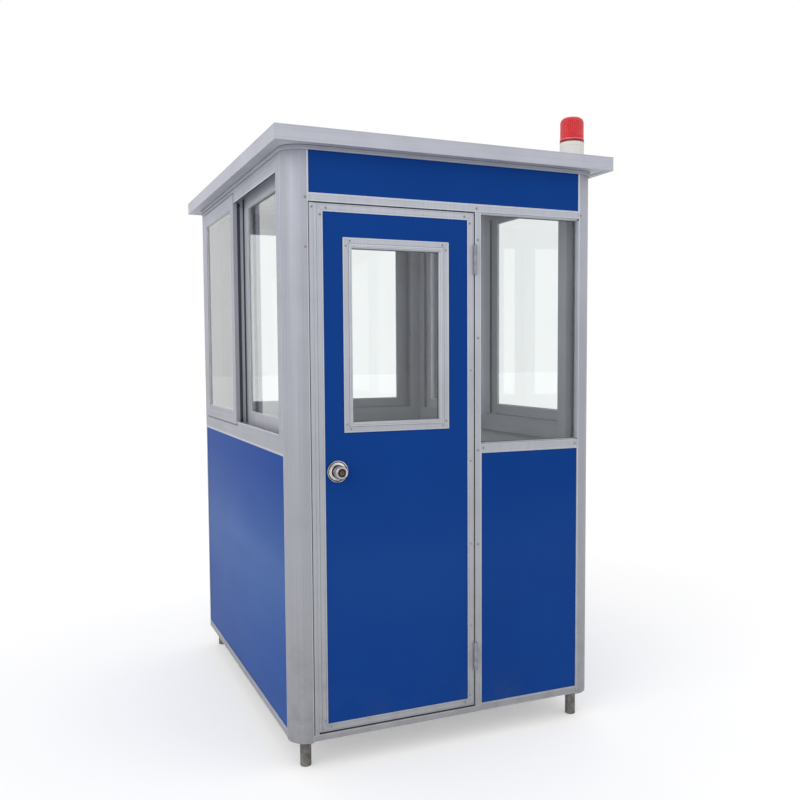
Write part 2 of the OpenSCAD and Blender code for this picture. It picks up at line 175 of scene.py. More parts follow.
def aluminium(name, drawn="Z", tint=(186, 188, 199)):
    """Satin anodised profile: faint drawing lines along one axis, a darkening towards the ground that is
    painted shade in part and dust in part, and thin dirt low down.
    """
    s = Shader(name)
    lines = {"X": (1.2, 240, 240), "Y": (240, 1.2, 240), "Z": (240, 240, 1.2)}[drawn]
    streak = s.noise(1.0, 2.0, 0.6, lines)
    cloud = s.noise(3.1, 5.0, 0.62)
    base = s.mix(s.remap(cloud, 0.3, 0.7, 0, 1), srgb(*tint), srgb(*(c - 15 for c in tint)))
    base = s.mix(s.remap(streak, 0.35, 0.65, 0.0, 0.35), base, srgb(*(c - 26 for c in tint)))
    # Darker towards the ground: painted shade in part, dust in part.
    base = s.mix(s.remap(s.axis("Z"), 0.2, 2.15, 0.55, 0.0), base, srgb(142, 143, 142))
    low = s.remap(s.axis("Z"), 0.1, 0.7, 1.0, 0.12)
    dirt = s.maths("MULTIPLY", low, s.remap(s.noise(11.0, 7.0, 0.72), 0.45, 0.72, 0.0, 0.5))
    colour = s.mix(dirt, base, srgb(122, 120, 116))
    s.set(Metallic=0.25, IOR=1.45, Specular_IOR_Level=0.35)
    s.bump(streak, 0.14, 0.0004)
    return s.out(Base_Color=colour, Roughness=s.remap(streak, 0.3, 0.7, 0.44, 0.60))


def blue_sheet(name, face_axis, middle, outside_below, tones, painted_reflection_level):
    """Prepainted steel sheet: blue outside, pale grey on the cabin's side.
    A pale band painted over the blue, strongest at mid height of the lower sheets, is a painted reflection."""
    s = Shader(name)
    cloud = s.noise(0.9, 4.0, 0.6, (1, 1, 0.5))
    blue = s.mix(s.remap(cloud, 0.2, 0.8, 0, 1), srgb(*tones[0]), srgb(*tones[1]))
    # A painted reflection: a pale streaky band at mid height, mixed into the blue.
    bands = s.noise(1.1, 3.0, 0.55, (0.8, 0.8, 2.6))
    height = s.maths("MINIMUM", s.remap(s.axis("Z"), 0.25, 0.72, 0.45, 1.0),
                     s.remap(s.axis("Z"), 0.72, 1.08, 1.0, 0.0))
    film_and_painted_reflection = s.maths("MULTIPLY", s.remap(bands, 0.22, 0.78, painted_reflection_level * 0.4, painted_reflection_level), height)
    blue = s.mix(film_and_painted_reflection, blue, srgb(106, 140, 190))
    inside = s.remap(s.axis(face_axis), middle - 0.001, middle + 0.001,
                     0.0 if outside_below else 1.0, 1.0 if outside_below else 0.0)
    grime = s.maths("MULTIPLY", s.remap(s.axis("Z"), 0.12, 0.32, 0.35, 0.0),
                    s.remap(s.noise(7.0, 6.0, 0.7), 0.45, 0.75, 0.0, 1.0))
    colour = s.mix(grime, s.mix(inside, blue, srgb(182, 187, 194)), srgb(70, 84, 104))
    s.set(IOR=1.45, Specular_IOR_Level=0.009)
    s.bump(s.noise(1.3, 0.0, 0.4, (1, 1, 2.2)), 0.5, 0.0022)
    return s.out(Base_Color=colour, Roughness=s.remap(s.noise(1.5, 1.0), 0.1, 0.9, 0.270, 0.288))


def clear_glass(name):
    """Nearly clear, with a thin film, and clear to shadow rays."""
    s = Shader(name)
    s.set(Transmission_Weight=1.0, IOR=1.45)
    film_and_painted_reflection = s.noise(5.0, 5.0, 0.6)
    tint = s.mix(s.remap(film_and_painted_reflection, 0.3, 0.7, 0, 1), (0.945, 0.965, 0.96), (0.925, 0.95, 0.95))
    s.out(Base_Color=tint, Roughness=s.remap(film_and_painted_reflection, 0.5, 0.8, 0.0, 0.04))
    clear = s.node("ShaderNodeBsdfTransparent")
    s.link(tint, clear.inputs["Color"])
    path = s.node("ShaderNodeLightPath")
    either = s.node("ShaderNodeMixShader")
    s.link(path.outputs["Is Shadow Ray"], either.inputs["Fac"])
    s.link(s.bsdf.outputs["BSDF"], either.inputs[1])
    s.link(clear.outputs["BSDF"], either.inputs[2])
    output = next(n for n in s.tree.nodes if n.type == "OUTPUT_MATERIAL")
    s.link(either.outputs["Shader"], output.inputs["Surface"])
    return s.material


def plain(name, colour_a, colour_b, rough, metallic=0.0, scale=20.0, depth=0.0002, **more):
    """Two near tones mixed by noise, with a fine bump."""
    s = Shader(name)
    grain = s.noise(scale, 5.0, 0.6)
    s.set(Metallic=metallic, **more)
    s.bump(grain, 0.3, depth)
    return s.out(Base_Color=s.mix(s.remap(grain, 0.3, 0.7, 0, 1), srgb(*colour_a), srgb(*colour_b)),
                 Roughness=s.remap(grain, 0.3, 0.7, rough * 0.85, rough * 1.2))


MAT = {
    "up": aluminium("profile_upright", "Z"),
    "across": aluminium("profile_across", "X"),
    "deep": aluminium("profile_deep", "Y"),
    # Lighter copies of the one aluminium: the fascia's, sash's and door's tints are partly their own and
    # partly painted light, and the lip's lightest tint is a painted highlight on raised edges.
    "fascia": aluminium("roof_fascia_painted_light", "X", (200, 202, 213)),
    "bright": aluminium("profile_lip_painted_highlight", "Z", (220, 223, 232)),
    "sash": aluminium("sash_profile_painted_light", "Z", (208, 210, 220)),
    "trim": aluminium("door_profile_painted_light", "Z", (201, 205, 214)),
    "glass": clear_glass("window_glass"),
    "foot": plain("galvanised_pipe", (134, 132, 128), (78, 77, 74), 0.5, 0.35, 34.0, 0.0006),
    "deck": plain("floor_sheet", (140, 142, 143), (120, 122, 124), 0.6),
    "roof": plain("roof_sheet", (206, 208, 212), (190, 193, 198), 0.5),
    "hinge": plain("hinge_steel", (152, 154, 160), (128, 130, 138), 0.42, 0.6),
    "chrome": plain("lock_chrome", (220, 218, 218), (136, 132, 130), 0.12, 1.0, 42.0),
    "brass": plain("key_brass", (140, 118, 88), (100, 84, 62), 0.3, 1.0),
    "white": plain("white_plastic", (232, 230, 226), (218, 216, 212), 0.4),
    "red": plain("red_lens", (222, 18, 34), (204, 10, 24), 0.16, 0.0, 40.0,
                 Specular_IOR_Level=0.3, Sheen_Weight=1.0, Sheen_Roughness=0.5,
                 Sheen_Tint=(1.0, 0.5, 0.55, 1.0)),
    # The lens foot's dark red is partly the plastic's own and partly painted shade under the rim.
    "wine": plain("red_lens_foot", (150, 18, 34), (124, 12, 26), 0.3),
    "satin": plain("satin_chrome", (206, 201, 201), (150, 146, 147), 0.3, 0.62, 60.0),
    # A dark chrome on the knobs' and roses' bands: a painted reflection.
    "painted_dark_reflection": plain("chrome_painted_dark_reflection", (66, 62, 60), (38, 36, 36), 0.2, 0.9, 60.0),
    # Grey seals; on rivets and in the strips beside the sashes the same grey paints shade.
    "seal": plain("grey_seal_and_painted_shade", (118, 122, 128), (98, 102, 108), 0.6),
    "gasket": plain("pale_gasket", (222, 224, 226), (206, 208, 211), 0.6),
    # The lens rim's pale red is partly the plastic's own and partly a painted highlight.
    "pink": plain("red_lens_rim", (244, 96, 104), (236, 78, 88), 0.2),
    # Black rubber for seals and stops; in the door's gaps and the key's slot the same black paints shade.
    "rubber": plain("black_rubber_and_painted_shade", (40, 42, 46), (28, 29, 32), 0.7),
    "pile": plain("grey_pile", (74, 78, 86), (50, 53, 60), 0.9, 0.0, 300.0, 0.001),
    "steel": plain("rivet_steel", (176, 176, 180), (140, 141, 146), 0.32, 0.8, 60.0),
}


# ---- Drawing pieces --------------------------------------------------------

class Form:
    """Collects solids for one piece, drawn in one wall's own frame."""

    def __init__(self, wall="front"):
        self.bm = bmesh.new()
        self.place, self.out = WALLS[wall]

    def on(self, wall):
        self.place, self.out = WALLS[wall]
        return self

    def solid(self, rings, wrap=False, second=()):
        """Joins equal rings of points, with a face over each end unless they wrap.
        Edges of the ring listed in second take the piece's second material."""
        loops = [[self.bm.verts.new(self.place(*p)) for p in ring] for ring in rings]
        n = len(loops[0])
        pairs = list(zip(loops, loops[1:])) + ([(loops[-1], loops[0])] if wrap else [])
        for a, b in pairs:
            for i in range(n):
                j = (i + 1) % n
                self.bm.faces.new((a[i], a[j], b[j], b[i])).material_index = int(i in second)
        if not wrap:
            self.bm.faces.new(loops[0])
            self.bm.faces.new(loops[-1])

    def up(self, outline, z0, z1, second=()):
        """An outline of (u, w) carried from z0 to z1."""
        self.solid([[(u, w, z) for u, w in outline] for z in (z0, z1)], second=second)

    def across(self, outline, u0, u1, second=()):
        """An outline of (z, w) carried from u0 to u1."""
        self.solid([[(u, w, z) for z, w in outline] for u in (u0, u1)], second=second)

    def mitred(self, outline, u, z, gap=0.00015, second=()):
        """Four lengths round a rectangle, cut at 45 degrees.
        The outline's points are (inwards from the rectangle's edge, depth w)."""
        corners = [(u[0], z[0]), (u[1], z[0]), (u[1], z[1]), (u[0], z[1])]
        for i, inward in enumerate(((0, 1), (-1, 0), (0, -1), (1, 0))):
            (ua, za), (ub, zb) = corners[i], corners[(i + 1) % 4]
            length = math.hypot(ub - ua, zb - za)
            tu, tz = (ub - ua) / length, (zb - za) / length
            rings = []
            for pu, pz, sign in ((ua, za, 1), (ub, zb, -1)):
                rings.append([(pu + inward[0] * a + tu * sign * (a + gap), w,
                               pz + inward[1] * a + tz * sign * (a + gap)) for a, w in outline])
            self.solid(rings, second=second)

    def lathe(self, profile, centre, axis, n=32, ripple=(0, 0.0), second=()):
        """A profile of (radius, height) turned about a world axis from a world centre.
        Its stretches listed in second take the piece's second material."""
        axis = Vector(axis).normalized()
        side = axis.orthogonal().normalized()
        other = axis.cross(side)
        last = None
        for step, (r, h) in enumerate(profile):
            if r <= 0:
                ring = [self.bm.verts.new(centre + axis * h)]
            else:
                ring = []
                for i in range(n):
                    t = 2 * math.pi * i / n
                    rr = r + ripple[1] * math.cos(ripple[0] * t)
                    ring.append(self.bm.verts.new(
                        centre + axis * h + side * rr * math.cos(t) + other * rr * math.sin(t)))
            if last:
                for i in range(n):
                    j = (i + 1) % n
                    quad = [last[i % len(last)], last[j % len(last)],
                            ring[j % len(ring)], ring[i % len(ring)]]
                    face = list(dict.fromkeys(quad))
                    if len(face) > 2:
                        self.bm.faces.new(face).material_index = int(step - 1 in second)
            last = ring

    def rivet(self, u, z, r=0.0038, w=0.0, out=None):
        """A blind rivet's domed head, with a dark ring round its foot and a dark pit where its stem was, both
        painted shade.
        """
        axis = out or self.out
        self.lathe([(0, -0.0003), (r * 1.22, -0.0003), (r * 1.2, 0.0002), (r, 0.0002),
                    (r * 0.92, r * 0.28), (r * 0.6, r * 0.44), (r * 0.4, r * 0.46),
                    (r * 0.34, r * 0.2), (0, r * 0.18)],
                   self.place(u, w, z), axis, 16, second=(1, 2, 6, 7))

    def piece(self, name, material, body="root", bevel=0.0):
        bmesh.ops.recalc_face_normals(self.bm, faces=self.bm.faces)
        for edge in self.bm.edges:
            edge.smooth = len(edge.link_faces) == 2 and edge.calc_face_angle(0.0) < 0.6
        for face in self.bm.faces:
            face.smooth = True
        mesh = bpy.data.meshes.new(name)
        self.bm.to_mesh(mesh)
        self.bm.free()
        for m in material if isinstance(material, tuple) else (material,):
            mesh.materials.append(MAT[m])
        made = bpy.data.objects.new(name, mesh)
        bpy.context.scene.collection.objects.link(made)
        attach(made, body)
        if bevel:
            soften(made, bevel)
        return made


def soften(made, width, weld=False):
    """Small rounded edges that catch the light."""
    if weld:
        joined = made.modifiers.new("weld", "WELD")
        joined.merge_threshold = 0.00002
    edge = made.modifiers.new("edges", "BEVEL")
    edge.width = width
    edge.segments = 2
    edge.limit_method = "ANGLE"
    edge.angle_limit = math.radians(40)
    edge.harden_normals = False


LIPS = (1, 2, 3, 5, 6, 7)                    # the edges of both lips in the section below, which take the painted highlight


def lipped(p0, p1, back, lip=0.0042, proud=0.0009, sink=0.0008):
    """A profile's section from p0 to p1: its face lies between two raised lips."""
    return [(p0, back), (p0, 0.0), (p0 + proud, -proud), (p0 + lip - proud, -proud), (p0 + lip, sink),
            (p1 - lip, sink), (p1 - lip + proud, -proud), (p1 - proud, -proud), (p1, 0.0), (p1, back)]


def box_outline(p0, p1, w0, w1, c=0.0006):
    """A rectangle's section with its corners cut by c."""
    return [(p0 + c, w0), (p1 - c, w0), (p1, w0 + c), (p1, w1 - c), (p1 - c, w1), (p0 + c, w1),
            (p0, w1 - c), (p0, w0 + c)]


# ---- CAD objects that stay -------------------------------------------------

def give(material, *names, edges=0.0006):
    """A material for CAD objects, and small rounded edges unless they are 0."""
    for n in names:
        mesh = NODES[n].data
        mesh.materials.clear()
        mesh.materials.append(material)
        if edges:
            soften(NODES[n], edges, weld=True)


give(MAT["foot"], "floor_joists")
give(MAT["deck"], "floor_deck")
give(MAT["up"], "corner_columns", "door_stop")
give(MAT["roof"], "roof_slab")
give(MAT["hinge"], "frame_hinges", "door_hinges")
for side in SIDES:
    give(MAT["across"] if side == "rear" else MAT["deep"], f"{side}_window_frame")
    give(MAT["glass"], f"{side}_window_glass", edges=0)
give(MAT["glass"], "front_window_glass", "door_window_glass", edges=0)
FRONT_BLUE = ((23, 70, 149), (19, 61, 135)), 0.05        # two tones, and the strength of the painted reflection over them
SIDE_BLUE = ((13, 73, 158), (9, 63, 144)), 0.46
CORE = 0.02                                              # the middle of a sheet, from the outer face
for nodes, label, axis, middle, below, look in (
        (("front_top_panel", "front_lower_panel", "door_panel"), "front", "Y", Y0 + CORE, True, FRONT_BLUE),
        (("left_lower_panel",), "left", "X", X0 + CORE, True, SIDE_BLUE),
        (("right_lower_panel",), "right", "X", X1 - CORE, False, SIDE_BLUE),
        (("rear_lower_panel",), "rear", "Y", Y1 - CORE, False, SIDE_BLUE)):
    give(blue_sheet(f"blue_sheet_{label}", axis, middle, below, *look), *nodes, edges=0)


# ---- Front wall ------------------------------------------------------------

def front_profiles():
    """The lintel, the sill and the post, each with two lips that take a painted highlight, and the door's
    jamb.
    """
    z0, z1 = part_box("front_lintel")[0].z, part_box("front_lintel")[1].z
    lintel = Form()
    lintel.across(lipped(z0, z1, WALL), -BAY, BAY, LIPS)
    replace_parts(lintel.piece("lintel_profile", ("trim", "bright")), "front_lintel")

    z0, z1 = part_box("front_sill")[0].z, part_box("front_sill")[1].z
    sill = Form()
    sill.across(lipped(z0, z1, WALL), POST[1].x + HAIR, BAY, LIPS)
    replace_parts(sill.piece("sill_profile", ("trim", "bright")), "front_sill")

    post = Form()
    post.up(lipped(POST[0].x, POST[1].x, WALL), POST[0].z, POST[1].z - 0.0003, LIPS)
    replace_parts(post.piece("post_profile", ("trim", "bright")), "window_post")

    a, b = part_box("door_jamb")[0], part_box("door_jamb")[1]
    groove, round_off = 0.0035, 0.0006
    jamb = Form()
    jamb.up([(a.x, WALL), (a.x, 0.007), (a.x + groove, 0.007), (a.x + groove, round_off),
             (a.x + groove + round_off, 0.0), (b.x - round_off, 0.0), (b.x, round_off), (b.x, WALL)],
            a.z, b.z - 0.0042)
    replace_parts(jamb.piece("jamb_profile", "trim"), "door_jamb")


def front_bead():
    """The bead round the front window's glass, with a seal on both faces of the pane."""
    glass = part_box("front_window_glass")
    u, z = (POST[1].x, BAY), (BEAD[0].z, BEAD[1].z)
    head = z[1] - glass[1].z
    wide, face, back = 0.004, 0.008, 0.034
    bead = Form()
    bead.across(box_outline(z[0], z[0] + wide, face, back), *u)
    # The head's lower face takes the lip's lighter tint, painted light in the shade under the lintel.
    bead.across([(z[1], back), (z[1], face), (z[1] - head + 0.002, face), (z[1] - head, 0.011),
                 (z[1] - head, back)], *u, (1, 2))
    for u0, w0 in ((u[0], face), (u[1] - wide, 0.0006)):
        bead.up(box_outline(u0, u0 + wide, w0, back), z[0] + wide + HAIR, z[1] - head - HAIR)
    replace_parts(bead.piece("front_bead", ("trim", "bright")), "front_window_frame")

    seal = Form()
    inner = (glass[0].x, glass[1].x), (glass[0].z, glass[1].z)
    for w0, w1 in ((0.0185, 0.0222), (0.0268, 0.0305)):
        seal.mitred(box_outline(0.0, 0.0022, w0, w1, 0.0004), *inner)
    seal.piece("front_glass_seal", "seal")


def rails():
    """The profiles round the foot of the walls. Under the door the rail is a plain threshold."""
    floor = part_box("base_rails")[0].z
    section = lipped(floor, RAILS_TOP, WALL)
    ends = Form("front")
    # The lips, and the threshold's top front edge, take a painted highlight.
    ends.across(section, POST[1].x, BAY, LIPS)
    top = POST[0].z
    ends.across([(floor, WALL), (floor, 0.0), (floor + 0.0008, -0.0006), (top - 0.0040, -0.0006),
                 (top - 0.001, -0.0006), (top, 0.0008), (top, WALL)], -BAY, POST[1].x - 0.0003, (3, 4))
    ends.on("rear").across(section, -BAY, BAY, LIPS)
    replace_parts(ends.piece("end_rails", ("across", "bright")), "base_rails")
    for side in ("left", "right"):
        deep = Form(side)
        deep.across(section, -SIDE, SIDE, LIPS)
        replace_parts(deep.piece(f"{side}_rail", ("deep", "bright")), "base_rails")


def panel_edges():
    """Lips round each blue sheet, all painted as highlights, and the column legs beside them, whose edges
    take a painted highlight.
    """
    lips = Form()
    section = box_outline(0.0, 0.0030, -0.0006, 0.0024, 0.0005)
    cornice_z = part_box("cornice")[0].z
    lintel_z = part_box("front_lintel")[1].z
    lips.mitred(section, (-BAY, BAY), (lintel_z, cornice_z + 0.004))
    lips.mitred(section, (POST[1].x, BAY), (RAILS_TOP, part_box("front_sill")[0].z))
    for side, half in (("left", SIDE), ("right", SIDE), ("rear", BAY)):
        window_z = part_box(f"{side}_window_frame")[0].z
        lips.on(side).mitred(section, (-half, half), (RAILS_TOP, window_z))
    lips.piece("panel_lips", "bright")

    legs = Form()
    width, back, proud = 0.0046, 0.002, 0.0010
    for side, half in (("front", BAY), ("rear", BAY), ("left", SIDE), ("right", SIDE)):
        legs.on(side)
        for sign in (-1, 1):
            inner, outer = sign * half, sign * (half + width)
            section = [(inner, back), (inner, -0.0004), (inner + sign * 0.0006, -proud),
                       (outer - sign * 0.0008, -proud), (outer, 0.0003), (outer, back)]
            legs.up(section, columns[0].z + 0.001, cornice_z + 0.002, (1, 2))
    legs.piece("column_legs", ("up", "bright"))


def corner_rivets(form, box, near, far, r, w):
    """Two rivets at each corner of a box, set in from the corner by near and by far."""
    for u, side in ((box[0].x, 1), (box[1].x, -1)):
        for z, up in ((box[0].z, 1), (box[1].z, -1)):
            form.rivet(u + side * near[0], z + up * near[1], r, w=w)
            form.rivet(u + side * far[0], z + up * far[1], r, w=w)


def rivets():
    sunk = 0.0006                            # how far a profile's face lies behind its lips
    lintel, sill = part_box("front_lintel"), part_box("front_sill")
    heads = Form("front")
    z = (lintel[0].z + lintel[1].z) / 2
    for u in (-BAY - 0.0095, BAY + 0.0095, POST[0].x + 0.0065):
        heads.rivet(u, z, w=0.0 if abs(u) > BAY else sunk)
    heads.rivet(-BAY + 0.0135, lintel[0].z - 0.019)
    for z in (0.36, 0.78, 1.15, 1.585, 1.96):
        heads.rivet((POST[0].x + POST[1].x) / 2, z, w=sunk)
    heads.rivet(-BAY - 0.0095, 1.905)
    for u in (POST[1].x + 0.012, BAY - 0.012):
        heads.rivet(u, (sill[0].z + sill[1].z) / 2, w=sunk)
    heads.piece("frame_rivets", ("steel", "seal"))

    door = Form("front")
    corner_rivets(door, LEAF, (0.018, 0.040), (0.040, 0.016), 0.0038, 0.0004)
    corner_rivets(door, VISION, (0.012, 0.030), (0.026, 0.012), 0.0034, -0.0008)
    for z in (0.46, 0.785, 1.11, 1.46):
        door.rivet(LEAF[1].x - 0.014, z, 0.0032, w=0.0004)
    door.piece("door_rivets", ("steel", "seal"), "door")


# ---- Door ------------------------------------------------------------------

THICK = LEAF[1].y - LEAF[0].y                # the leaf's thickness


def door_edging():
    """The channel round the leaf, and the cover lip over its gap on the lock side."""
    u, z = (LEAF[0].x, LEAF[1].x), (LEAF[0].z, LEAF[1].z)
    wide, sheet = 0.028, 0.0021
    edging = Form("front")
    # Edges 9 to 12 of the section take a painted highlight.
    edging.mitred([(0.0, THICK - 0.0006), (0.0, 0.0006), (0.0006, 0.0), (0.0034, 0.0), (0.0038, 0.0014),
                   (0.0048, 0.0014), (0.0052, 0.0004), (0.0218, 0.0004), (0.0222, 0.0014),
                   (0.0230, 0.0014), (0.0236, -0.0006), (0.0272, -0.0006), (wide, 0.0004),
                   (wide, sheet), (0.002, sheet), (0.002, THICK - sheet), (wide, THICK - sheet),
                   (wide, THICK - 0.0004), (0.0272, THICK), (0.0006, THICK)],
                  u, z, 0.0003, (9, 10, 11, 12))
    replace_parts(edging.piece("door_edge_profile", ("trim", "bright"), "door"), "door_edging")

    lip = Form("front")
    lip.up([(u[0] - 0.0075, -0.0014), (u[0] - 0.0069, -0.0020), (u[0] + 0.0030, -0.0020),
            (u[0] + 0.0036, -0.0014), (u[0] + 0.0036, 0.0003), (u[0], -0.0006),
            (u[0] - 0.0075, -0.0010)], z[0] + 0.002, z[1] - 0.001)
    lip.piece("door_cover_lip", "trim", "door")


def door_window_ring():
    """The ring round the door's window: a face on each side, the web between, and sloped beads."""
    u, z = (VISION[0].x, VISION[1].x), (VISION[0].z, VISION[1].z)
    face = [(0, 0.0018), (0, -0.0012), (0.0008, -0.002), (0.0036, -0.002), (0.0044, -0.0008),
            (0.0200, -0.0008), (0.0204, 0.0010), (0.0218, 0.0010), (0.0226, -0.002), (0.0270, -0.002),
            (0.0274, -0.0006), (0.0284, -0.0006), (0.0290, -0.0018), (0.0316, -0.0018),
            (0.033, -0.0004), (0.033, 0.004), (0.025, 0.004), (0.025, 0.0018)]
    # Edges that take a painted highlight.
    bright = (1, 2, 3, 8, 12, 13)
    ring = Form("front")
    ring.mitred(face, u, z, 0.0003, bright)
    ring.mitred([(a, THICK - w) for a, w in face], u, z, 0.0003, bright)
    ring.mitred([(0.0251, 0.0041), (0.0329, 0.0041), (0.0329, THICK - 0.0041),
                 (0.0251, THICK - 0.0041)], u, z)
    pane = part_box("door_window_glass")
    w0, w1 = pane[0].y - Y0, pane[1].y - Y0
    root, tip = 0.0331, 0.0378
    ring.mitred([(root, 0.0041), (0.0365, 0.0065), (tip, w0 - 0.0004), (root, w0 - 0.0004)],
                u, z, second=(0,))
    ring.mitred([(root, THICK - 0.0060), (0.0365, THICK - 0.0085), (tip, w1 + 0.0004),
                 (root, w1 + 0.0004)], u, z)
    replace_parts(ring.piece("door_window_ring", ("trim", "bright"), "door"), "door_window_frame")

    seal = Form("front")
    for a, b in ((w0 - 0.003, w0 - 0.0001), (w1 + 0.0001, w1 + 0.003)):
        seal.mitred(box_outline(0.0376, 0.0394, a, b, 0.0003), u, z)
    seal.piece("door_glass_seal", "seal", "door")


def stop_seal():
    """Bulb seals on the faces of the stops that the leaf meets."""
    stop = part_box("door_stop")
    w0, w1 = LEAF[1].y - Y0 + 0.0008, stop[0].y - Y0 + 0.0005
    near, far = 0.004, 0.011
    mid = (w0 + w1) / 2
    bulb = [(near, w1), (near, mid), (0.0052, w0 + 0.0004), (0.0075, w0), (0.0098, w0 + 0.0004),
            (far, mid), (far, w1)]
    seal = Form("front")
    u, z = (stop[0].x, stop[1].x), (stop[0].z, stop[1].z)
    seal.up([(u[0] + a, w) for a, w in bulb], z[0] + 0.004, z[1] - 0.004)
    seal.up([(u[1] - a, w) for a, w in bulb], z[0] + 0.004, z[1] - 0.004)
    seal.across([(z[1] - a, w) for a, w in bulb], u[0] + far + HAIR, u[1] - far - HAIR)
    seal.piece("stop_seal", "rubber")


def gap_strips(lock_z):
    """Dark strips in the gaps round the leaf that paint the gaps' shade; the lock side's leaves out the
    latch.
    """
    strip, w = 0.0008, (0.003, 0.034)
    gap = Form("front")
    gap.up(box_outline(POST[0].x - strip, POST[0].x, *w, 0.0002), LEAF[0].z, LEAF[1].z)
    gap.piece("post_shade_strip", "rubber")
    edge, bottom = LEAF[0].x, LEAF[0].z
    sweep = Form("front")
    for span in ((bottom, lock_z - 0.030), (lock_z + 0.030, LEAF[1].z)):
        sweep.up(box_outline(edge - strip, edge, *w, 0.0002), *span)
    sweep.across(box_outline(bottom - 0.0052, bottom, 0.0012, w[1], 0.0006), edge, LEAF[1].x)
    sweep.piece("leaf_shade_strip", "rubber", "door")


def latch_plates(z):
    """The strike plate on the jamb, and the latch's own plate and bolt on the leaf's edge."""
    mid = 0.020                              # the middle of the gap, from the wall's face
    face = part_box("door_jamb")[1].x
    strike = Form("front")
    strike.up(box_outline(face - 0.0004, face + 0.0010, 0.008, 0.032, 0.0003), z - 0.03, z + 0.03)
    for up in (0.022, -0.022):
        strike.rivet(face + 0.0010, z + up, 0.0028, mid, Vector((1, 0, 0)))
    strike.piece("strike_plate", ("steel", "seal"))

    edge = LEAF[0].x
    latch = Form("front")
    latch.up(box_outline(edge - 0.0010, edge + 0.0004, 0.009, 0.031, 0.0003), z - 0.028, z + 0.028)
    for up in (0.021, -0.021):
        latch.rivet(edge - 0.0010, z + up, 0.0026, mid, Vector((-1, 0, 0)))
    latch.up(box_outline(edge - 0.0016, edge, 0.015, 0.025, 0.0004), z - 0.007, z + 0.007)
    latch.piece("latch_plate", ("steel", "seal"), "door")


def lock_and_knobs(x, z):
    """A rose and a knob on each face of the leaf, turned about the lock's axis; their dark bands are a
    painted reflection.
    """
    faces = ((Vector((x, LEAF[0].y, z)), Vector((0, -1, 0))), (Vector((x, LEAF[1].y, z)), Vector((0, 1, 0))))
    rose = Form("front")
    for centre, out in faces:
        rose.lathe([(0, -0.0015), (0.0400, -0.0015), (0.0400, 0.0020), (0.0392, 0.0036), (0.0374, 0.0042),
                    (0.0356, 0.0036), (0.0346, 0.0026), (0.0330, 0.0024), (0.0296, 0.0034),
                    (0.0262, 0.0052), (0.0250, 0.0066), (0.0236, 0.0078), (0.0200, 0.0080),
                    (0.0150, 0.0080), (0.0142, 0.0070), (0, 0.0070)], centre, out, 64,
                   second=(5, 6, 10, 11, 13, 14))
    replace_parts(rose.piece("lock_roses", ("chrome", "painted_dark_reflection"), "door"), "door_lock")

    knob = Form("front")
    for centre, out in faces:
        knob.lathe([(0, 0.0085), (0.0180, 0.0085), (0.0186, 0.0120), (0.0184, 0.0145), (0.0172, 0.0152),
                    (0.0172, 0.0168), (0.0214, 0.0180), (0.0226, 0.0204), (0.0224, 0.0232),
                    (0.0210, 0.0240), (0.0210, 0.0254), (0.0236, 0.0268), (0.0248, 0.0310), (0.0250, 0.0370),
                    (0.0246, 0.0430), (0.0234, 0.0490), (0.0216, 0.0522), (0.0196, 0.0536),
                    (0.0176, 0.0538), (0.0160, 0.0528), (0.0150, 0.0514), (0.0100, 0.0506),
                    (0.0094, 0.0512), (0, 0.0512)], centre, out, 64,
                   second=(3, 4, 5, 8, 9, 10, 20, 21, 22))
    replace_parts(knob.piece("knobs", ("satin", "painted_dark_reflection"), "knob"), "door_knobs")
    key_plug(*faces[0])


def key_plug(centre, out):
    """The lock's plug in the outer knob, with a dark strip on its face that paints the shade in the key's
    slot.
    """
    plug = Form("front")
    plug.lathe([(0, 0.0510), (0.0082, 0.0510), (0.0082, 0.0526), (0.0074, 0.0534), (0, 0.0534)],
               centre, out, 32)
    plug.piece("key_plug", "brass", "knob")
    x, z = centre.x, centre.z
    slot = Form("front")
    for half, low, high in ((0.0011, 0.0048, 0.0048), (0.0022, 0.0016, 0.0026)):
        slot.up(box_outline(x - half, x + half, -0.0536, -0.0530, 0.0001), z - low, z + high)
    slot.piece("key_slot", "rubber", "knob")


def hinge_caps():
    """Domed heads on both ends of each hinge pin."""
    low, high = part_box("frame_hinges")
    x, y = (LEAF[1].x + POST[0].x) / 2, low.y + 0.007        # the pins' axis
    length = 0.110
    caps = Form("front")
    for z in (low.z, high.z - length):
        for end, out in ((z, -1), (z + length, 1)):
            caps.lathe([(0, -0.0002), (0.0052, -0.0002), (0.0060, 0.0003), (0.0058, 0.0012), (0.0040, 0.0024),
                        (0.0016, 0.0030), (0, 0.0031)], Vector((x, y, end)), (0, 0, out), 24)
    caps.piece("hinge_pin_heads", "hinge")


# ---- Roof ------------------------------------------------------------------

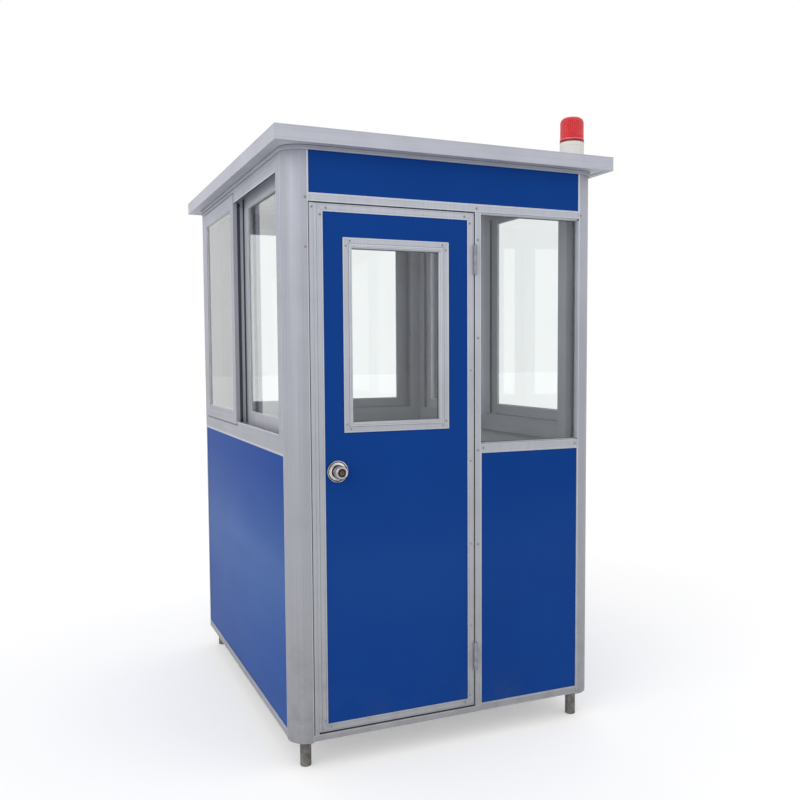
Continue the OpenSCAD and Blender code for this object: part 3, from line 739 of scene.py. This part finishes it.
def roof_top():
    """The roof's edge profile, the sealant along it, and the seams between the sheets."""
    low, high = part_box("roof_edge")
    x, y = (low.x, high.x), (low.y, high.y)
    h0, h1 = low.z, high.z
    flange, sheet = 0.030, 0.0018
    edge = Form("plan")
    edge.mitred([(0.0006, h0), (0.0, h0 + 0.0006), (0.0, h0 + 0.0034), (0.0008, h0 + 0.0042),
                 (0.0008, h1 - 0.0046), (0.0, h1 - 0.0038), (0.0, h1 - 0.0006), (0.0006, h1),
                 (flange, h1), (flange, h1 - sheet), (0.0021, h1 - sheet), (0.0021, h0 + sheet),
                 (flange, h0 + sheet), (flange, h0)], x, y)
    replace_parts(edge.piece("roof_edge_profile", "fascia"), "roof_edge")
    sealant = Form("plan")
    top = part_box("roof_slab")[1].z
    sealant.mitred([(flange, top), (flange, top + 0.0016), (0.0335, top + 0.0012), (0.036, top)], x, y)
    sealant.piece("roof_sealant", "white")
    seams = Form("plan")
    sheet_width = (x[1] - x[0] - 0.08) / 3.0
    for i in (-1, 0, 1):
        u = i * sheet_width
        seams.solid([[(u - 0.012, top, v), (u - 0.011, top + 0.0012, v), (u + 0.011, top + 0.0012, v),
                      (u + 0.012, top, v)] for v in (y[0] + 0.037, y[1] - 0.037)])
    seams.piece("roof_seams", "roof")


def cornice():
    """The band under the roof: one section carried round the columns' rounded corners."""
    low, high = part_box("cornice")
    out = high.x - X1
    radius, steps = 0.074, 14
    section = [(-0.001, high.z), (out - 0.0020, high.z), (out - 0.0020, high.z - 0.0072),
               (out, high.z - 0.0088), (out, high.z - 0.0126), (out - 0.0012, high.z - 0.014),
               (0.0016, high.z - 0.014), (-0.001, high.z - 0.0126)]
    rings = []
    for cx, cy, start in ((X1 - radius, Y1 - radius, 0), (X0 + radius, Y1 - radius, 90),
                          (X0 + radius, Y0 + radius, 180), (X1 - radius, Y0 + radius, 270)):
        for i in range(steps + 1):
            a = math.radians(start + 90 * i / steps)
            rings.append([(cx + (radius + o) * math.cos(a), h, cy + (radius + o) * math.sin(a))
                          for o, h in section])
    band = Form("plan")
    band.solid(rings, wrap=True)
    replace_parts(band.piece("cornice_band", "across"), "cornice")


def beacon_body():
    """The white body, its three screws, and the lens on its axis."""
    low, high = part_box("beacon_base")
    centre = Vector(((low.x + high.x) / 2, (low.y + high.y) / 2, low.z))
    h = high.z - low.z
    base = Form()
    r = (high.x - low.x) / 2
    base.lathe([(0, 0), (r, 0), (r, 0.0046), (r - 0.001, 0.0060), (r - 0.0026, 0.0074),
                (r - 0.0038, 0.0110), (r - 0.0042, 0.0120), (r - 0.0042, h - 0.0200),
                (r - 0.0050, h - 0.0190), (r - 0.0050, h - 0.0170), (r - 0.0042, h - 0.0160),
                (r - 0.0042, h - 0.0030), (r - 0.0060, h), (0, h)], centre, (0, 0, 1), 72)
    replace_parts(base.piece("beacon_body", "white"), "beacon_base")
    screws = Form()
    for i in range(3):
        a = math.radians(30 + 120 * i)
        place = centre + Vector(((r - 0.0022) * math.cos(a), (r - 0.0022) * math.sin(a), 0.0052))
        screws.lathe([(0, 0), (0.0021, 0), (0.0020, 0.0010), (0.0012, 0.0015), (0.0008, 0.0010),
                      (0, 0.0010)], place, (0, 0, 1), 14)
    screws.piece("beacon_screws", "steel")
    beacon_lens(centre.x, centre.y)


def beacon_lens(x, y):
    """A foot darkened partly by painted shade, a rim lit partly by a painted highlight, and a ribbed red cap
    with a rounded top.
    """
    low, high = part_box("beacon_lens")
    centre = Vector((x, y, low.z))
    h = high.z - low.z
    r, k = 0.0464, 0.023                     # the cap's radius, and the radius of its shoulder
    dome = [(r - k + k * math.cos(math.radians(a)), h - k + k * math.sin(math.radians(a)))
            for a in range(10, 91, 10)]
    foot = Form()
    foot.lathe([(0, 0), (0.0484, 0), (0.0490, 0.0006), (0.0490, 0.0046), (0.0482, 0.0056),
                (0.0470, 0.0060), (0.0470, 0.0076), (0, 0.0076)], centre, (0, 0, 1), 96)
    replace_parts(foot.piece("beacon_foot", "wine"), "beacon_lens")
    rim = Form()
    rim.lathe([(0, 0.0077), (0.0480, 0.0077), (0.0490, 0.0086), (0.0490, 0.0136), (0.0480, 0.0146),
               (0, 0.0146)], centre, (0, 0, 1), 96)
    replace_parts(rim.piece("beacon_rim", "pink"), "beacon_lens")
    lens = Form()
    lens.lathe([(0, 0.0147), (0.0452, 0.0147), (0.0452, 0.0160), (r, 0.0172), (r, 0.030), (r, 0.045),
                (r, h - k)] + dome + [(0, h)], centre, (0, 0, 1), 288, (36, 0.0007))
    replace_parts(lens.piece("beacon_cap", "red"), "beacon_lens")


def feet():
    """Four pipe feet, each with a weld where it meets the frame."""
    low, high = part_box("feet")
    r, top = 0.021, high.z
    foot = Form()
    for x in (low.x + r, high.x - r):
        for y in (low.y + r, high.y - r):
            foot.lathe([(0, 0.006), (0.0178, 0.006), (0.0178, 0.0), (0.0196, 0.0), (0.0210, 0.0016),
                        (0.0210, top - 0.0080), (0.0222, top - 0.0066), (0.0240, top - 0.0030),
                        (0.0246, top), (0, top)], Vector((x, y, 0)), (0, 0, 1), 40)
    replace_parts(foot.piece("pipe_feet", "foot"), "feet")


# ---- Sliding windows -------------------------------------------------------

STILE = 0.055                                # the width of a sash's stile
GROOVE = 0.046                               # from the stile's outer edge to its groove
LAP = 0.015                                  # how far the outer sash's skirt laps past its body
FIN = 0.003                                  # the fin where the two sashes meet


def sash_section(p0, p1, w0, w1, groove):
    """A stile's or rail's section with a fine groove beside the glass."""
    return [(p0 + 0.0008, w0), (groove - 0.0009, w0), (groove, w0 + 0.0009), (groove + 0.0009, w0),
            (p1 - 0.0008, w0), (p1, w0 + 0.0008), (p1, w1 - 0.0006), (p1 - 0.0006, w1),
            (p0 + 0.0006, w1), (p0, w1 - 0.0006), (p0, w0 + 0.0008)]


def outer_sash(wall, u, z, pane):
    """Stiles and rails on the outer track: a skirt in front, and a shorter body behind it."""
    (u0, u1), (z0, z1) = u, z
    body = z0 + 0.010, z1 - 0.038
    stiles = Form(wall)
    stiles.up(sash_section(u0, u0 + STILE, -0.004, 0.014, u0 + GROOVE), z0, z1)
    stiles.up(sash_section(u1 - STILE, u1 + LAP, -0.004, -0.001, u1 - GROOVE), z0, z1)
    stiles.up(box_outline(u1 - STILE, u1, -0.001, 0.014), *body)
    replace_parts(stiles.piece(f"{wall}_outer_stiles", "up"), f"{wall}_outer_sash")
    between = u0 + STILE + HAIR, u1 - STILE - HAIR
    bars = Form(wall)
    for span, groove, back in (((z0, pane[0]), pane[0] - 0.009, (body[0], pane[0])),
                               ((pane[1], z1), pane[1] + 0.009, (pane[1], body[1]))):
        bars.across(sash_section(*span, -0.0038, -0.001, groove), *between)
        bars.across(box_outline(*back, -0.0009, 0.0138), *between)
    flat = "across" if wall == "rear" else "deep"
    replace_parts(bars.piece(f"{wall}_outer_rails", flat), f"{wall}_outer_sash")


def inner_sash(wall, u, z, pane):
    """Stiles and rails on the inner track, with the fin that closes on the outer sash."""
    (u0, u1), (z0, z1) = u, z
    stiles = Form(wall)
    stiles.up(sash_section(u0, u0 + STILE, 0.048, 0.066, u0 + GROOVE), z0, z1)
    stiles.up(sash_section(u1 - STILE, u1, 0.048, 0.066, u1 - GROOVE), z0, z1)
    stiles.up(box_outline(u1 - FIN, u1, 0.028, 0.0482, 0.0004), z0 + 0.012, z1 - 0.016)
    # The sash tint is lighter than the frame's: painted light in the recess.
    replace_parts(stiles.piece(f"{wall}_inner_stiles", "sash"), f"{wall}_inner_sash")
    between = u0 + STILE + HAIR, u1 - STILE - HAIR
    bars = Form(wall)
    for span, groove in (((z0, pane[0]), pane[0] - 0.009), ((pane[1], z1), pane[1] + 0.009)):
        bars.across(sash_section(*span, 0.0482, 0.0658, groove), *between)
    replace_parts(bars.piece(f"{wall}_inner_rails", "sash"), f"{wall}_inner_sash")


def sash_trim(wall, outer, inner, outer_z, inner_z, pane):
    """Glass seals, stops beside the outer sash, grey strips above and below it that paint the shade along its
    edges, and pile strips.
    """
    u0, u1 = outer
    z0, z1 = outer_z
    seal = Form(wall)
    for (a, b), w0, w1 in ((outer, 0.003, 0.008), (inner, 0.055, 0.060)):
        for wide, near, far in ((0.0030, w0 - 0.0030, w0 - 0.0001), (0.0060, w1 + 0.0001, w1 + 0.0034)):
            seal.mitred(box_outline(0.0, wide, near, far, 0.0004), (a + STILE, b - STILE), pane)
    seal.piece(f"{wall}_glass_seals", "gasket")

    stops = Form(wall)
    for z in (z0 + 0.010, z1 - 0.052):
        stops.up(box_outline(u0 - 0.006, u0 + 0.004, 0.0155, 0.0265, 0.001), z, z + 0.013)
    stops.piece(f"{wall}_sash_stops", "rubber")

    strip = Form(wall)
    for z in (z0 - 0.0072, z1 + HAIR):
        strip.across(box_outline(z, z + 0.0070, -0.0024, -0.0002, 0.0006), u0 + 0.002, u1 + LAP - 0.002)
    strip.piece(f"{wall}_sash_painted_shade_strips", "seal")

    pile = Form(wall)
    pile.up(box_outline(u0 + 0.0015, u0 + 0.0055, 0.014, 0.0274, 0.0005), z0 + 0.012, z1 - 0.040)
    fin = inner[1] - FIN
    pile.up(box_outline(fin - 0.0016, fin, 0.0415, 0.0478, 0.0003), inner_z[0] + 0.013, inner_z[1] - 0.017)
    pile.piece(f"{wall}_pile_strips", "pile")


def frame_lips(wall, sash_u, sash_z):
    """Lips on the window's frame, painted as highlights: under the sill, over the sill and under the head."""
    low, high = (corner.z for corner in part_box(f"{wall}_window_frame"))
    half = SIDE if wall != "rear" else BAY
    clear = half - 0.060
    sill = sash_z + 0.008
    head = high - 0.074
    lip = Form(wall)
    lip.across([(low, 0.001), (low, -0.0012), (low + 0.0012, -0.0020), (low + 0.0062, -0.0006),
                (low + 0.0062, 0.001)], -half, half)
    lip.across([(sill - 0.0020, 0.0016), (sill - 0.0014, -0.0008), (sill + 0.0030, -0.0008),
                (sill + 0.0036, 0.0), (sill + 0.0036, 0.0016)], -clear, sash_u)
    lip.across([(head, 0.001), (head, -0.0002), (head + 0.0006, -0.0008), (head + 0.0034, -0.0008),
                (head + 0.0042, 0.001)], -clear, sash_u)
    lip.piece(f"{wall}_frame_lips", "bright")


def sliding_window(wall):
    """One wall's pair of sashes and what seals and frames them."""
    u0, lap = along(wall, f"{wall}_outer_sash")
    outer, inner = (u0, lap - LAP), along(wall, f"{wall}_inner_sash")
    outer_z, inner_z, pane = ([corner.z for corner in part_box(f"{wall}_{part}")]
                              for part in ("outer_sash", "inner_sash", "window_glass"))
    outer_sash(wall, outer, outer_z, pane)
    inner_sash(wall, inner, inner_z, pane)
    sash_trim(wall, outer, inner, outer_z, inner_z, pane)
    frame_lips(wall, u0, outer_z[0])


# ---- Stage, light and camera -----------------------------------------------

def stage_floor():
    """A wide pale floor, a little brighter where it is seen than where it lights the booth."""
    mesh = bpy.data.meshes.new("stage_floor")
    size = 60.0
    mesh.from_pydata([(-size, -size, 0), (size, -size, 0), (size, size, 0), (-size, size, 0)],
                     [], [(0, 1, 2, 3)])
    floor = bpy.data.objects.new("stage_floor", mesh)
    bpy.context.scene.collection.objects.link(floor)
    s = Shader("stage_floor")
    tone = s.noise(0.8, 3.0)
    s.set(Specular_IOR_Level=0.05)
    s.out(Base_Color=s.mix(tone, (0.80, 0.80, 0.80), (0.82, 0.82, 0.82)),
          Roughness=s.remap(tone, 0, 1, 0.9, 1.0))
    seen = background_ray(s.tree)
    glow = s.node("ShaderNodeEmission")
    s.link(s.remap(seen, 0, 1, 0.0, 0.36), glow.inputs["Strength"])
    total = s.node("ShaderNodeAddShader")
    s.link(s.bsdf.outputs["BSDF"], total.inputs[0])
    s.link(glow.outputs["Emission"], total.inputs[1])
    output = next(n for n in s.tree.nodes if n.type == "OUTPUT_MATERIAL")
    s.link(total.outputs["Shader"], output.inputs["Surface"])
    mesh.materials.append(s.material)


def background_ray(tree):
    """1 for a ray from the camera, glass or metal, otherwise 0."""
    path = tree.nodes.new("ShaderNodeLightPath")
    found = path.outputs["Is Camera Ray"]
    for other in ("Is Transmission Ray", "Is Glossy Ray"):
        either = tree.nodes.new("ShaderNodeMath")
        either.operation = "MAXIMUM"
        tree.links.new(found, either.inputs[0])
        tree.links.new(path.outputs[other], either.inputs[1])
        found = either.outputs[0]
    return found


def world_light():
    """Even studio light; white where the camera, metal or glass sees the background."""
    world = bpy.data.worlds.new("studio")
    bpy.context.scene.world = world
    world.use_nodes = True
    tree = world.node_tree
    background = next(n for n in tree.nodes if n.type == "BACKGROUND")
    level = tree.nodes.new("ShaderNodeMapRange")
    light, seen = 0.74, 1.0
    level.inputs["To Min"].default_value = light
    level.inputs["To Max"].default_value = seen
    tree.links.new(background_ray(tree), level.inputs["Value"])
    tree.links.new(level.outputs["Result"], background.inputs["Strength"])
    background.inputs["Color"].default_value = (1.0, 1.0, 1.0, 1)


def sun(name, towards, power, spread):
    """A soft lamp that shines towards a direction; spread is its width in degrees."""
    data = bpy.data.lights.new(name, "SUN")
    data.energy = power
    data.angle = math.radians(spread)
    lamp = bpy.data.objects.new(name, data)
    lamp.rotation_euler = Vector(towards).to_track_quat("-Z", "Y").to_euler()
    lamp.visible_transmission = False            # its disc isn't seen through the windows
    bpy.context.scene.collection.objects.link(lamp)


def photo_camera():
    """The photograph's view."""
    data = bpy.data.cameras.new("camera")
    data.sensor_width = 36.0
    data.lens = 39.65
    data.shift_x = -0.018
    data.shift_y = 0.014
    cam = bpy.data.objects.new("camera", data)
    yaw, pitch, roll = (math.radians(a) for a in (23.654, -3.672, -0.295))
    forward = Vector((math.sin(yaw) * math.cos(pitch), math.cos(yaw) * math.cos(pitch),
                      math.sin(pitch)))
    right = Vector((math.cos(yaw), -math.sin(yaw), 0.0))
    up = right.cross(forward)
    right, up = (math.cos(roll) * right + math.sin(roll) * up,
                 math.cos(roll) * up - math.sin(roll) * right)
    turn = Matrix((right, up, -forward)).transposed().to_4x4()
    cam.matrix_world = Matrix.Translation((-1.4864, -3.8504, 1.5222)) @ turn
    bpy.context.scene.collection.objects.link(cam)
    bpy.context.scene.camera = cam


front_profiles()
front_bead()
rails()
panel_edges()
rivets()
door_edging()
door_window_ring()
stop_seal()
lock_low, lock_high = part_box("door_lock")
lock_x, lock_z = (lock_low.x + lock_high.x) / 2, (lock_low.z + lock_high.z) / 2
gap_strips(lock_z)
latch_plates(lock_z)
lock_and_knobs(lock_x, lock_z)
hinge_caps()
roof_top()
cornice()
beacon_body()
feet()
for side in SIDES:
    sliding_window(side)

stage_floor()
world_light()
sun("key", (0.90, 0.48, -0.36), 0.88, 60)
sun("fill", (-0.75, 0.45, -0.45), 0.25, 60)
photo_camera()
bpy.context.scene.view_settings.view_transform = "Standard"
